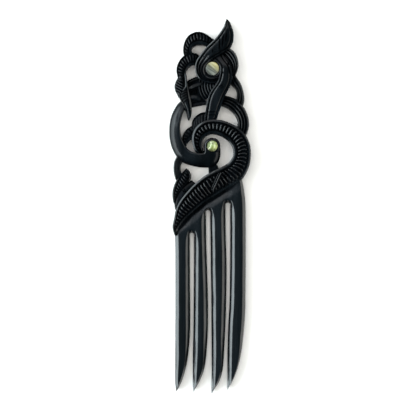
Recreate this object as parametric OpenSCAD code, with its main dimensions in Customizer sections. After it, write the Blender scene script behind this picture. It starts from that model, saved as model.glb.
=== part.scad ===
// A four-tined hair comb of black wood with a pierced, interlaced head
// and two round shell inlays. It lies on its flat back: X runs across,
// Y runs from the tines to the carved head, Z is up.

/* [Thickness] */
// Height of the highest carving above the back
head_height = 7; // [6.4:0.1:8]
// Height of the plain plate below the carved head
plate_height = 5; // [4.6:0.1:5.6]
// Height of the tines where they begin to taper
tine_height = 4.8; // [4.4:0.1:5]
// Height of the tines at their tips
tip_height = 3.4; // [3:0.1:4]

/* [Carving] */
// Width of the plain rim along a carved band
rim_width = 1.1; // [0.9:0.05:1.2]
// Depth of the groove inside a rim
groove_depth = 0.9; // [0.6:0.1:1.1]
// How far the notched field lies below the rims
field_depth = 0.3; // [0.2:0.05:0.5]
// Sections made between two rows of a table
steps = 1; // [1:1:2]
// Sections between two rows of the notched spiral
notch_steps = 4; // [3:1:5]

/* [Tines] */
// Width of the bevel along the front of each tine
tine_bevel = 1.5; // [1.2:0.1:1.8]
// How far the front bevel falls
bevel_fall = 1.4; // [1.1:0.1:1.6]
// Width of the bevel along the back of each tine
tine_back_bevel = 0.7; // [0.4:0.1:0.9]

/* [Inlays] */
// Diameter of the upper shell inlay
upper_inlay_d = 6.4; // [6:0.1:6.8]
// Diameter of the lower shell inlay
lower_inlay_d = 5.3; // [5:0.1:5.6]
// Thickness of a shell inlay at its rim
inlay_edge = 1.3; // [1:0.1:1.5]
// Rise of the domed face of an inlay
inlay_dome = 0.3; // [0.2:0.05:0.4]
// Glue gap round and under an inlay
inlay_gap = 0.05; // [0.04:0.01:0.08]

/* [Hidden] */

// Where the sections start, below the back
under = -1;

// Height at which a tine is widest, and how far its side leans in above
tine_waist = 1.8;
tine_side = 0.6;

// Bevel along the top of a low bar
bar_bevel = 0.5;

// Places of the inlays on the head
upper_inlay_at = [1.0, 66.0];
lower_inlay_at = [0.95, 28.9];
upper_inlay_floor = 4.9;
lower_inlay_floor = 4.7;
collar_wall = 1.3;
collar_height = 6.2;

// Every band is a table of cross sections, in the order in which the
// band runs. The columns are the left edge, the right edge and the
// height as a share of head_height.
left_x = 0;
left_y = 1;
right_x = 2;
right_y = 3;
level = 4;

// Leaf that wraps round the upper inlay
leaf_rows = [
    [7.95, 90.0, 7.75, 90.0, 0.70],
    [9.3, 88.4, 7.2, 88.2, 0.86],
    [10.5, 85.6, 6.2, 85.7, 0.97],
    [11.2, 82.6, 4.4, 82.9, 1.00],
    [11.1, 79.6, 2.4, 80.4, 1.00],
    [10.3, 77.1, 0.7, 78.8, 1.00],
    [9.2, 75.6, -0.7, 77.5, 1.00],
    [6.9, 74.2, -2.2, 76.0, 1.00],
    [4.4, 72.7, -3.6, 74.3, 1.00],
    [1.6, 71.1, -5.1, 72.2, 1.00],
    [-0.8, 69.2, -6.4, 70.3, 1.00],
    [-2.5, 67.2, -7.2, 68.0, 1.00],
    [-3.0, 65.3, -7.3, 65.6, 1.00],
    [-2.6, 63.5, -6.8, 63.3, 1.00],
    [-1.5, 62.2, -5.5, 61.3, 1.00],
    [0.1, 61.6, -3.4, 59.9, 0.99],
    [1.8, 61.7, -0.6, 59.2, 0.94],
    [3.2, 62.2, 2.2, 59.2, 0.86],
    [4.6, 63.2, 4.8, 60.0, 0.78],
];
// Strap from the leaf down to the spiral
strap_rows = [
    [5.8, 73.6, 0.6, 71.2, 0.74],
    [7.4, 70.3, 3.2, 69.2, 0.88],
    [9.2, 67.9, 4.5, 67.3, 0.97],
    [10.3, 65.0, 4.7, 65.0, 1.00],
    [10.6, 62.3, 4.3, 62.3, 1.00],
    [10.2, 59.6, 3.6, 60.0, 1.00],
    [9.2, 57.0, 2.2, 57.8, 1.00],
    [8.0, 54.8, 0.7, 55.8, 1.00],
    [6.9, 52.5, -0.6, 53.4, 1.00],
    [5.9, 50.0, -1.5, 50.5, 1.00],
    [5.0, 47.5, -2.0, 47.6, 1.00],
    [4.1, 44.8, -2.4, 44.8, 0.97],
    [3.4, 42.4, -2.7, 42.4, 0.88],
    [3.2, 40.2, -2.8, 40.0, 0.78],
];
// Arch at the upper left
upper_arch_rows = [
    [0.6, 77.0, 3.0, 79.4, 0.72],
    [-1.6, 76.9, 0.2, 81.2, 0.84],
    [-3.6, 77.2, -2.7, 83.1, 0.93],
    [-5.5, 77.3, -6.0, 83.9, 0.94],
    [-7.2, 76.9, -9.4, 82.8, 0.94],
    [-8.3, 76.2, -11.6, 80.6, 0.94],
    [-8.8, 75.2, -12.8, 77.5, 0.92],
    [-8.7, 74.0, -13.1, 74.6, 0.86],
    [-8.2, 72.6, -12.6, 71.8, 0.74],
];
// Arch below it
lower_arch_rows = [
    [-6.2, 66.6, -4.2, 72.0, 0.76],
    [-7.6, 67.6, -6.8, 73.4, 0.90],
    [-8.9, 67.5, -9.6, 73.7, 0.95],
    [-10.0, 66.8, -12.3, 72.6, 0.95],
    [-10.9, 65.7, -14.4, 70.6, 0.95],
    [-11.4, 64.3, -15.8, 68.0, 0.95],
    [-11.6, 62.7, -16.3, 65.3, 0.93],
    [-11.5, 61.0, -15.9, 62.6, 0.88],
    [-11.3, 59.0, -15.2, 60.2, 0.78],
];
// Ribbed bulge on the left edge
bulge_rows = [
    [-14.6, 62.7, -15.2, 62.4, 0.84],
    [-13.2, 61.0, -16.2, 60.8, 0.93],
    [-12.3, 59.0, -17.0, 58.9, 0.96],
    [-12.1, 57.2, -17.2, 57.0, 0.96],
    [-12.7, 55.5, -16.8, 55.3, 0.95],
    [-13.8, 54.0, -16.0, 53.8, 0.92],
    [-14.7, 52.4, -15.2, 52.0, 0.86],
];
// Dagger that hangs from the lower arch
dagger_rows = [
    [-11.4, 63.4, -12.7, 63.6, 0.93],
    [-11.1, 59.8, -12.7, 59.8, 0.96],
    [-10.5, 56.6, -13.2, 57.0, 0.97],
    [-10.0, 54.0, -14.6, 54.8, 0.98],
    [-9.5, 51.6, -14.9, 52.2, 1.00],
    [-9.0, 49.0, -13.6, 49.6, 1.00],
    [-8.9, 46.5, -12.4, 47.0, 1.00],
    [-9.0, 44.3, -11.6, 44.8, 0.97],
    [-9.6, 42.4, -11.1, 42.6, 0.90],
    [-10.2, 41.3, -10.6, 41.3, 0.80],
];
// Fan of ridges below the leaf's wrap
fan_rows = [
    [5.0, 61.8, -3.6, 61.8, 0.70],
    [4.2, 59.2, -5.2, 59.2, 0.78],
    [2.8, 56.8, -6.0, 57.0, 0.82],
    [1.0, 54.2, -5.2, 54.2, 0.82],
    [-0.4, 52.0, -3.9, 51.7, 0.80],
    [-1.4, 50.6, -2.6, 50.3, 0.74],
];
// Arch at the upper right
right_arch_rows = [
    [8.4, 76.2, 4.2, 72.4, 0.74],
    [10.7, 75.0, 5.6, 70.4, 0.86],
    [12.4, 72.8, 7.0, 68.8, 0.91],
    [13.3, 70.2, 8.2, 67.5, 0.91],
    [13.6, 67.6, 9.0, 66.2, 0.90],
    [13.1, 65.2, 9.6, 65.0, 0.87],
    [12.2, 63.0, 9.6, 63.2, 0.80],
    [11.2, 60.8, 8.9, 61.3, 0.74],
];
// Band that links it to the long arch
link_rows = [
    [11.6, 63.8, 9.0, 61.7, 0.72],
    [13.2, 61.2, 9.6, 59.0, 0.78],
    [14.7, 58.8, 10.8, 57.4, 0.83],
    [15.7, 56.0, 12.2, 56.0, 0.84],
    [16.3, 53.0, 12.7, 54.1, 0.83],
    [16.3, 50.3, 12.5, 52.0, 0.78],
    [15.7, 48.2, 11.6, 49.8, 0.72],
];
// Long ridged arch on the right
long_arch_rows = [
    [5.5, 53.2, 3.4, 48.2, 0.76],
    [8.3, 53.0, 5.6, 48.0, 0.88],
    [11.0, 52.0, 7.6, 47.2, 0.93],
    [13.7, 50.4, 9.6, 45.8, 0.94],
    [15.9, 47.9, 11.3, 44.2, 0.94],
    [17.5, 44.9, 12.4, 42.5, 0.94],
    [18.5, 41.5, 13.0, 40.7, 0.93],
    [18.6, 38.3, 13.1, 38.8, 0.87],
    [17.9, 35.5, 12.8, 36.5, 0.78],
    [17.0, 33.3, 12.2, 34.5, 0.74],
];
// Two lobes behind the spiral
upper_lobe_rows = [
    [-1.5, 40.0, -1.5, 45.4, 0.72],
    [-3.5, 39.0, -4.6, 44.8, 0.80],
    [-5.5, 37.6, -7.2, 43.0, 0.82],
    [-6.8, 36.0, -8.7, 40.8, 0.82],
    [-7.3, 34.5, -9.0, 38.4, 0.78],
];
lower_lobe_rows = [
    [-7.0, 34.8, -8.4, 38.9, 0.74],
    [-7.9, 33.4, -10.8, 37.5, 0.80],
    [-8.7, 32.3, -12.6, 35.5, 0.82],
    [-10.0, 31.4, -13.5, 33.2, 0.82],
    [-11.1, 30.0, -13.2, 30.9, 0.80],
    [-11.8, 28.4, -13.0, 28.6, 0.74],
];
// Smooth crescent, and the neck from it to the round knob at its end
crescent_rows = [
    [-10.5, 49.3, -13.8, 51.0, 0.74],
    [-12.6, 46.0, -16.2, 48.4, 0.88],
    [-13.6, 43.0, -18.3, 44.4, 0.97],
    [-14.3, 40.0, -19.4, 40.3, 1.00],
    [-14.4, 36.8, -19.7, 36.0, 1.00],
    [-14.0, 33.8, -19.4, 31.8, 1.00],
    [-13.0, 31.0, -18.2, 27.5, 1.00],
    [-11.6, 28.4, -16.0, 23.6, 1.00],
    [-9.6, 26.5, -12.6, 20.8, 1.00],
    [-7.0, 25.7, -8.6, 19.4, 1.00],
    [-4.4, 25.4, -4.6, 18.7, 1.00],
    [-1.8, 25.4, -0.8, 18.6, 1.00],
    [0.8, 26.2, 2.2, 19.4, 1.00],
    [2.0, 27.2, 4.1, 21.6, 0.96],
];
neck_rows = [
    [-1.2, 20.2, 3.0, 20.2, 0.94],
    [-2.4, 23.2, 4.4, 22.6, 1.00],
    [-2.7, 26.0, 4.9, 25.6, 1.00],
    [-2.85, 28.3, 4.8, 28.4, 0.985],
];
knob_d = 7.8;
// Notched spiral that runs on as the diagonal band
spiral_rows = [
    [-3.3, 24.6, -2.3, 25.7, 0.78],
    [-5.6, 25.1, -3.1, 26.7, 0.88],
    [-7.3, 26.6, -3.75, 28.0, 0.97],
    [-8.3, 28.7, -3.95, 29.4, 1.00],
    [-8.85, 32.2, -3.5, 31.5, 1.00],
    [-8.2, 35.6, -2.5, 33.1, 1.00],
    [-6.3, 38.5, -1.0, 34.1, 1.00],
    [-3.0, 40.8, 0.8, 34.6, 1.00],
    [1.2, 41.6, 2.6, 34.4, 1.00],
    [5.6, 41.2, 4.7, 33.7, 1.00],
    [9.8, 39.8, 6.9, 32.5, 1.00],
    [13.6, 37.6, 8.9, 30.8, 1.00],
    [17.0, 34.0, 10.4, 28.7, 1.00],
    [19.0, 29.7, 11.0, 26.3, 1.00],
    [19.5, 25.0, 10.8, 24.2, 1.00],
    [19.0, 20.4, 9.9, 22.3, 1.00],
    [17.6, 16.4, 8.5, 20.7, 1.00],
    [15.4, 13.0, 6.8, 19.6, 1.00],
    [12.0, 10.8, 4.7, 18.5, 1.00],
    [7.0, 8.1, 1.4, 16.9, 1.00],
    [2.0, 4.9, -2.8, 14.5, 1.00],
    [-2.7, 2.0, -7.4, 10.8, 1.00],
    [-6.6, -1.2, -11.3, 6.7, 1.00],
    [-9.8, -4.0, -14.4, 2.8, 1.00],
    [-12.5, -6.7, -16.4, -1.2, 1.00],
    [-14.6, -9.5, -17.3, -5.6, 0.98],
    [-16.1, -12.2, -18.1, -9.9, 0.92],
    [-16.9, -14.2, -17.3, -13.4, 0.80],
];
// Outer band on the left, below the crescent
side_band_rows = [
    [-12.8, 23.0, -15.2, 25.4, 0.74],
    [-13.6, 21.0, -17.0, 22.2, 0.84],
    [-14.2, 19.0, -17.6, 19.6, 0.88],
    [-14.2, 17.2, -17.6, 17.0, 0.88],
    [-13.8, 15.5, -17.2, 14.6, 0.84],
    [-13.4, 13.5, -16.6, 12.6, 0.74],
];
// Pointed leaf over its lower end
side_leaf_rows = [
    [-11.35, 18.2, -11.6, 18.2, 0.80],
    [-10.1, 17.0, -12.8, 16.9, 0.90],
    [-9.1, 15.0, -14.5, 15.0, 0.95],
    [-9.3, 12.9, -16.0, 13.0, 0.95],
    [-11.0, 11.2, -17.1, 10.7, 0.95],
    [-13.0, 9.2, -17.9, 8.2, 0.95],
    [-14.7, 7.2, -18.2, 5.8, 0.95],
    [-16.0, 5.2, -18.0, 3.4, 0.92],
    [-16.9, 2.8, -17.5, 1.2, 0.84],
];
// Low wedge between that leaf and the diagonal band
wedge_rows = [
    [-6.6, 10.5, -8.8, 12.5, 0.70],
    [-9.0, 8.8, -11.3, 11.2, 0.74],
    [-11.3, 6.5, -13.8, 8.9, 0.75],
    [-13.3, 4.0, -16.0, 6.0, 0.75],
    [-14.8, 1.8, -17.0, 3.2, 0.74],
    [-15.8, -0.4, -17.2, 0.4, 0.72],
    [-16.2, -2.0, -16.9, -1.6, 0.70],
];
// Low ground between the dagger and the fan
ground_rows = [
    [-4.6, 62.4, -11.7, 60.0, 0.50],
    [-4.6, 57.5, -11.6, 57.3, 0.50],
    [-3.8, 53.0, -10.4, 53.0, 0.50],
    [-2.2, 48.9, -9.0, 47.4, 0.50],
];
// Four bars across it: the columns are the middle, half the width and
// the height as a share of head_height.
bar_x = 0;
bar_y = 1;
bar_half = 2;
bar_level = 3;
bars = [
    [[-10.8, 59.4, 0.75, 0.64], [-8.1, 60.8, 0.85, 0.66], [-4.8, 62.0, 0.85, 0.64]],
    [[-10.4, 56.6, 0.85, 0.76], [-7.6, 57.9, 0.90, 0.78], [-4.4, 59.0, 0.85, 0.74]],
    [[-9.5, 52.3, 1.05, 0.62], [-7.3, 52.4, 1.10, 0.66], [-4.6, 52.3, 0.90, 0.62]],
    [[-9.0, 48.6, 1.05, 0.62], [-6.0, 49.4, 1.00, 0.66], [-2.2, 49.8, 1.00, 0.62]],
];
// Low tie between the crescent and the spiral
tie_rows = [
    [2.8, 20.8, -1.4, 19.6, 0.62],
    [3.5, 19.4, -0.9, 18.2, 0.64],
    [4.3, 17.4, -0.8, 15.6, 0.64],
];

// Plain plate and the outline of the tines: half way down, the height
// falls away to the tips.
plate_rows = [
    [15.0, 13.6, -9.0, 9.0, plate_height],
    [15.7, 11.4, -12.5, 2.0, plate_height],
    [16.4, 7.2, -15.5, -4.5, plate_height],
    [16.9, 3.0, -17.0, -9.5, plate_height],
    [17.1, -4.0, -17.1, -13.5, plate_height],
    [17.15, -18.0, -16.9, -22.0, plate_height],
    [17.1, -34.0, -16.85, -36.0, tine_height],
    [16.9, -50.0, -16.85, -50.0, tine_height],
    [16.2, -60.0, -16.9, -60.0, 4.6],
    [15.0, -70.0, -16.9, -70.0, 4.3],
    [13.2, -78.0, -16.95, -78.0, 4.0],
    [10.7, -84.2, -16.9, -84.2, 3.7],
    [8.3, -88.3, -16.5, -88.3, tip_height],
    [7.0, -90.0, -16.0, -90.0, tip_height],
];

// Slots between the tines: the columns are the middle, the place along
// the comb and half the width of the opening.
slot_x = 0;
slot_y = 1;
slot_half = 2;
slot_rows = [
    [
        [-8.9, -13.7, 0.95],
        [-8.85, -20.0, 1.0],
        [-8.85, -36.0, 0.95],
        [-8.9, -58.0, 0.8],
        [-9.4, -70.0, 1.05],
        [-10.1, -78.0, 1.7],
        [-11.1, -84.2, 2.7],
        [-12.05, -88.6, 4.05],
        [-12.5, -92.0, 5.0],
    ],
    [
        [-1.15, -2.8, 0.95],
        [-1.0, -12.0, 1.05],
        [-0.65, -30.0, 0.9],
        [-0.3, -46.0, 0.8],
        [-0.3, -58.0, 0.85],
        [-0.55, -70.0, 1.2],
        [-1.1, -78.0, 1.75],
        [-2.3, -84.2, 2.9],
        [-3.55, -88.6, 4.2],
        [-4.2, -92.0, 4.8],
    ],
    [
        [8.45, 0.7, 1.05],
        [8.5, -10.0, 1.1],
        [8.7, -30.0, 0.85],
        [8.45, -46.0, 0.8],
        [7.95, -58.0, 0.65],
        [7.45, -70.0, 0.8],
        [7.15, -78.0, 1.1],
        [6.3, -84.2, 2.0],
        [4.85, -88.6, 3.38],
        [4.2, -92.0, 4.2],
    ],
];

// A smooth curve through the rows of a table
function between(a, b, c, d, t) =
    0.5 * (2 * b + (c - a) * t + (2 * a - 5 * b + 4 * c - d) * t * t
        + (3 * b - a - 3 * c + d) * t * t * t);
function smooth(rows, count) =
    let (last = len(rows) - 1)
    [
        for (i = [0:last - 1], k = [0:count - 1])
            between(rows[max(i - 1, 0)], rows[i], rows[i + 1],
                rows[min(i + 2, last)], k / count),
        rows[last]
    ];

// Cross sections: each point is a distance from the left edge and a
// height. They start and end below the back, which is cut flat later.

// Two rims with a low field between them, whose middle lies at a given
// depth
function rimmed(w, top, depth = field_depth) =
    let (rim = min(rim_width, w * 0.2), g = groove_depth * min(1, w / 4))
    [
        [0, under], [0, top - 0.6],
        [rim * 0.4, top], [rim, top - 0.15], [rim * 1.35, top - g],
        [w / 2, top - depth * min(1, w / 4)],
        [w - rim * 1.35, top - g], [w - rim, top - 0.15], [w - rim * 0.4, top],
        [w, top - 0.6], [w, under]
    ];

// Ridges that run along the band
function reeded(w, top, count) =
    [
        [0, under], [0, top - 0.8],
        for (i = [0:count - 1], k = [0, 1])
            if (k == 0 || i < count - 1)
                [w * (i + 0.5 + k / 2) / count, top - k * groove_depth * 0.7],
        [w, top - 0.8], [w, under]
    ];

// Two rims with a raised panel between them
function panelled(w, top) =
    let (rim = min(rim_width, w * 0.2))
    [
        [0, under], [0, top - 0.6],
        [rim * 0.5, top], [rim * 1.1, top - 0.7], [rim * 1.7, top - 0.1],
        [w / 2, top],
        [w - rim * 1.7, top - 0.1], [w - rim * 1.1, top - 0.7], [w - rim * 0.5, top],
        [w, top - 0.6], [w, under]
    ];

// A plain round back
function rounded(w, top) =
    [
        [0, under], [0, top * 0.55],
        [w * 0.08, top * 0.78], [w * 0.24, top * 0.94], [w / 2, top],
        [w * 0.76, top * 0.94], [w * 0.92, top * 0.78],
        [w, top * 0.55], [w, under]
    ];

// A low plain bar or ground
function plain(w, top) =
    let (slope = min(0.6, w * 0.25))
    [
        [0, under], [0, top - 0.7], [slope, top], [w - slope, top],
        [w, top - 0.7], [w, under]
    ];

// The plate and the tines, with bevels along both outer edges
function bevelled(w, top) =
    let (shoulder = tine_side + tine_bevel, foot = tine_back_bevel * (1 - under / tine_waist))
    [
        [foot, under], [0, tine_waist], [tine_side, top - bevel_fall], [shoulder, top],
        [w - shoulder, top], [w - tine_side, top - bevel_fall], [w, tine_waist],
        [w - foot, under]
    ];

function profile(kind, w, top, odd) =
    kind == "notched" ? rimmed(w, top, odd ? groove_depth : field_depth)
    : kind == "rimmed" ? rimmed(w, top)
    : kind == "panelled" ? panelled(w, top)
    : kind == "rounded" ? rounded(w, top)
    : kind == "bevelled" ? bevelled(w, top)
    : kind == "plain" ? plain(w, top)
    : reeded(w, top, kind);

// The points of one cross section, from the left edge to the right. In
// a notched band, every other section is a cut.
function section(row, kind, unit, odd) =
    let (
        start = [row[left_x], row[left_y]],
        across = [row[right_x], row[right_y]] - start,
        w = norm(across)
    )
    [
        for (p = profile(kind, w, row[level] * unit, odd))
            [each (start + across * p[0] / w), p[1]]
    ];

// A solid between closed rings of points, capped at both ends
module skin(rings) {
    n = len(rings[0]);
    last = len(rings) - 1;
    polyhedron(
        points = [for (ring = rings, p = ring) p],
        faces = concat(
            [[for (k = [0:n - 1]) k]],
            [[for (k = [n - 1:-1:0]) last * n + k]],
            [
                for (i = [0:last - 1], k = [0:n - 1], half = [0, 1])
                    let (a = i * n + k, b = i * n + (k + 1) % n)
                    half == 0 ? [a, a + n, b + n] : [a, b + n, b]
            ]
        )
    );
}

// A band swept through the sections of a table
module band(rows, kind, count = steps, unit = head_height) {
    line = smooth(rows, count);
    skin([for (i = [0:len(line) - 1]) section(line[i], kind, unit, i % 2 == 1)]);
}

// A low bar with a bevelled top
module bar(rows) {
    for (i = [0:len(rows) - 2])
        hull()
            for (row = [rows[i], rows[i + 1]])
                translate([row[bar_x], row[bar_y], under]) {
                    top = row[bar_level] * head_height - under;
                    cylinder(h = top - bar_bevel, r = row[bar_half], $fn = 12);
                    cylinder(h = top, r = row[bar_half] - bar_bevel, $fn = 12);
                }
}

module head_bands() {
    band(leaf_rows, "rimmed");
    band(strap_rows, "panelled");
    band(upper_arch_rows, "rimmed", 2);
    band(lower_arch_rows, "rimmed", 2);
    band(bulge_rows, "rounded");
    band(dagger_rows, "rimmed");
    band(fan_rows, "rimmed");
    band(right_arch_rows, 3);
    band(link_rows, 3);
    band(long_arch_rows, 4, 2);
    band(upper_lobe_rows, "rimmed");
    band(lower_lobe_rows, "rimmed");
    band(crescent_rows, "rounded", 2);
    band(neck_rows, "rounded");
    knob();
    band(spiral_rows, "notched", notch_steps);
    band(side_band_rows, "rimmed");
    band(side_leaf_rows, "rimmed");
    band(wedge_rows, "plain");
    band(ground_rows, "plain");
    band(tie_rows, "plain");
    for (rows = bars) bar(rows);
}

// The round end of the crescent: the outline of a rounded band, turned
module knob() {
    half = [for (p = rounded(knob_d, head_height)) if (p[0] <= knob_d / 2) p];
    translate(lower_inlay_at)
        rotate_extrude($fn = 32)
            polygon([each [for (p = half) [knob_d / 2 - p[0], p[1]]], [0, under]]);
}

// The ring that holds the upper inlay
module collar() {
    translate([each upper_inlay_at, under])
        cylinder(h = collar_height - under, d = upper_inlay_d + 2 * collar_wall, $fn = 40);
}

// The outline of a slot's cutter at one height, some way past the
// opening: down its left side, up its right side, round its closed end
function slot_outline(line, grow, height) =
    let (n = len(line), end = line[0], r = end[slot_half] + grow)
    [
        for (row = line) [row[slot_x] - row[slot_half] - grow, row[slot_y], height],
        for (i = [n - 1:-1:0])
            [line[i][slot_x] + line[i][slot_half] + grow, line[i][slot_y], height],
        for (turn = [20:20:160])
            [end[slot_x] + r * cos(turn), end[slot_y] + r * sin(turn), height]
    ];

// Narrowest at waist height, wider at the back and the front
module slot(rows) {
    line = smooth(rows, 2);
    skin([
        slot_outline(line, tine_back_bevel * (1 - under / tine_waist), under),
        slot_outline(line, 0, tine_waist),
        slot_outline(line, tine_side, plate_height - bevel_fall),
        slot_outline(line, tine_side + tine_bevel * 2, plate_height + bevel_fall)
    ]);
}

module seat(at, d, floor_height) {
    translate([each at, floor_height - inlay_gap])
        cylinder(h = head_height, d = d + 2 * inlay_gap, $fn = 40);
}

// All that lies below the flat back
module below_back() {
    translate([-50, -100, 2 * under])
        cube([100, 200, -2 * under]);
}

module comb() {
    color("#22262b")
        difference() {
            union() {
                head_bands();
                collar();
                band(plate_rows, "bevelled", 1, 1);
            }
            below_back();
            for (rows = slot_rows) slot(rows);
            seat(upper_inlay_at, upper_inlay_d, upper_inlay_floor);
            seat(lower_inlay_at, lower_inlay_d, lower_inlay_floor);
        }
}

// A shell disc with a domed face: the dome is a cap of a large ball
module inlay(at, d, floor_height) {
    ball = (d * d / 4 + inlay_dome * inlay_dome) / (2 * inlay_dome);
    translate([each at, floor_height])
        intersection() {
            cylinder(h = inlay_edge + inlay_dome, d = d, $fn = 64);
            translate([0, 0, inlay_edge + inlay_dome - ball])
                sphere(r = ball, $fn = 96);
        }
}

module upper_inlay() {
    color("#a9b08c") inlay(upper_inlay_at, upper_inlay_d, upper_inlay_floor);
}

module lower_inlay() {
    color("#dfe8b4") inlay(lower_inlay_at, lower_inlay_d, lower_inlay_floor);
}

comb();
upper_inlay();
lower_inlay();
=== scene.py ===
import bisect
import math
import bmesh
import bpy
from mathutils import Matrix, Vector


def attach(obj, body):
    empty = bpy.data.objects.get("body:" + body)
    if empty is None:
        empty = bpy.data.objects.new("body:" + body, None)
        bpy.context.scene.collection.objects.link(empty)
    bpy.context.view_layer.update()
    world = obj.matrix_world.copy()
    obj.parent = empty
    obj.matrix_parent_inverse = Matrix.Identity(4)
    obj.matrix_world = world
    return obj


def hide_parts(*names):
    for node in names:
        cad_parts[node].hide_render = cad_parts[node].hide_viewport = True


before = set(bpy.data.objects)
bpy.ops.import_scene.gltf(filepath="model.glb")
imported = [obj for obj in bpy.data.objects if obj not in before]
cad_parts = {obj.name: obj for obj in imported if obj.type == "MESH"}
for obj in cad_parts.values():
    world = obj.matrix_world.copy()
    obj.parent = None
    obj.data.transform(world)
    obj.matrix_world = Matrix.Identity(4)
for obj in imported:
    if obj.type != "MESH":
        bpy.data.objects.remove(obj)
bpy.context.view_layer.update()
mm = 0.001
underBack = -1.0  # bands start here and are cut flat at the back later
headHeight = 7.0
plateHeight = 5.0
rowSteps = 12  # samples between two rows of a band
print("frame loaded")


# the helpers work in millimetres, the comb is scaled once at the end
def throughRows(a, b, c, d, t):
    # smooth curve from row b to row c
    return [
        0.5 * (2 * q + (r - p) * t + (2 * p - 5 * q + 4 * r - s) * t * t + (3 * q - p - 3 * r + s) * t ** 3)
        for p, q, r, s in zip(a, b, c, d)
    ]


def smoothRows(rows, steps):
    last = len(rows) - 1
    samples = []
    for i in range(last):
        before, after = rows[max(i - 1, 0)], rows[min(i + 2, last)]
        samples += [throughRows(before, rows[i], rows[i + 1], after, k / steps) for k in range(steps)]
    return samples + [list(rows[last])]


def makePath(rows):
    # smooth run through the rows, with the distance along the middle at each sample
    samples = smoothRows(rows, rowSteps)
    runs = [0.0]
    for a, b in zip(samples, samples[1:]):
        step = math.hypot((b[0] + b[2] - a[0] - a[2]) / 2, (b[1] + b[3] - a[1] - a[3]) / 2)
        runs.append(runs[-1] + max(step, 1e-4))
    return {"samples": samples, "runs": runs, "length": runs[-1]}


def rowAt(path, run):
    runs, samples = path["runs"], path["samples"]
    i = min(max(bisect.bisect_right(runs, run) - 1, 0), len(runs) - 2)
    t = (run - runs[i]) / (runs[i + 1] - runs[i])
    return [a + (b - a) * t for a, b in zip(samples[i], samples[i + 1])]


def runOfRow(path, row):
    spot = row * rowSteps
    i = min(int(spot), len(path["runs"]) - 2)
    return path["runs"][i] + (path["runs"][i + 1] - path["runs"][i]) * (spot - i)


def blendTable(table, x):
    # values between the lines of a short table whose first column is x
    if x <= table[0][0]:
        return table[0][1:]
    for a, b in zip(table, table[1:]):
        if x <= b[0]:
            t = (x - a[0]) / (b[0] - a[0])
            return [p + (q - p) * t for p, q in zip(a[1:], b[1:])]
    return table[-1][1:]


def meshFromRings(name, rings):
    # closed skin over rings of equal count
    n, last = len(rings[0]), len(rings) - 1
    verts = [p for ring in rings for p in ring]
    faces = [
        (i * n + k, i * n + (k + 1) % n, (i + 1) * n + (k + 1) % n, (i + 1) * n + k)
        for i in range(last) for k in range(n)
    ]
    faces.append(tuple(range(n - 1, -1, -1)))
    faces.append(tuple(last * n + k for k in range(n)))
    return meshObject(name, verts, faces)


def meshObject(name, verts, faces):
    mesh = bpy.data.meshes.new(name)
    mesh.from_pydata(verts, [], faces)
    bm = bmesh.new()
    bm.from_mesh(mesh)
    bmesh.ops.recalc_face_normals(bm, faces=bm.faces)
    bmesh.ops.triangulate(bm, faces=bm.faces)
    bm.to_mesh(mesh)
    bm.free()
    obj = bpy.data.objects.new(name, mesh)
    bpy.context.scene.collection.objects.link(obj)
    return obj


def join(target, tool, how="UNION"):
    mod = target.modifiers.new("carve", "BOOLEAN")
    mod.operation = how
    mod.solver = "MANIFOLD"
    mod.object = tool
    with bpy.context.temp_override(object=target, active_object=target):
        bpy.ops.object.modifier_apply(modifier=mod.name)
    bpy.data.objects.remove(tool)


# cross sections are lists of (distance from the left edge, height)
rimShape = [(0.0, 0.8), (0.06, 0.54), (0.3, 0.36), (0.6, 0.15), (0.82, 0.02), (0.92, 0.03), (1.0, 0.32)]
fieldSteps = (0.0, 0.05, 0.14, 0.28, 0.42, 0.5, 0.58, 0.72, 0.86, 0.95, 1.0)
widestRound = 1.1  # a wider rim gets a flat in the middle


def rimPoints(width, top, scale):
    turn = min(width, widestRound)
    spread = width - turn
    return [(share * turn + (spread if share > 0.7 else 0), top - fall * scale) for share, fall in rimShape]


def carvedSection(w, top, phase, shape, along):
    # two rims with a field between them, phase 1 is a ridge top and 0 the gap beside it
    scale = min(1.0, max(0.12, (w - 1.2) / 2.4))  # narrow ends are carved less deep
    thinner = 1 - shape.get("wrapThin", 0) * along
    rimLeft, rimRight = (min(r * thinner, 0.3 * w) for r in shape["rims"])
    if shape.get("lateRim"):
        rimRight *= 0.15 + 0.85 * along  # a thread of a rim that widens
    deep = shape["groove"] * scale
    sink = shape["sink"] * scale
    cut = (deep - sink) * shape.get("cut", 1.0) * (1 - phase)
    blunt = scale * shape.get("rimFall", 1.0)
    left = rimPoints(rimLeft, top, blunt) if rimLeft else []
    right = rimPoints(rimRight, top, blunt) if rimRight else []
    beside = 0.22 * scale  # from a rim to the field
    start = rimLeft + beside if left else 0.0
    end = w - rimRight - beside if right else w
    reeds, reedDepth = shape.get("reeds", (0, 0))
    points = [(0, underBack)] + left
    for t in fieldSteps:
        side = abs(2 * t - 1) ** shape["power"]
        fall = deep - (deep - sink - cut) * (1 - side)
        if reeds:
            fall = min(deep, fall + reedDepth * along * (1 - abs(math.sin(math.pi * reeds * t))) ** 1.1)
        points.append((start + (end - start) * t, top - fall))
    points += [(w - d, z) for d, z in reversed(right)]
    points.append((w, underBack))
    return points


# one reed, share of its width and of its depth
reedSteps = (
    (0.0, 1.0), (0.1, 0.92), (0.18, 0.54), (0.28, 0.26), (0.41, 0.07), (0.55, 0.0), (0.69, 0.05),
    (0.82, 0.22), (0.91, 0.54),
)


def reededSection(w, top, phase, shape, along):
    # lengthwise reeds
    edges = shape["reedEdges"]
    deep = shape["groove"] * min(1, w / 4)
    foot = top - deep - 0.25
    points = [(0, underBack), (0, foot)]
    for a, b in zip(edges, edges[1:]):
        points += [(w * (a + (b - a) * share), top - deep * fall) for share, fall in reedSteps]
    return points + [(w, top - deep), (w, foot), (w, underBack)]


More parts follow.
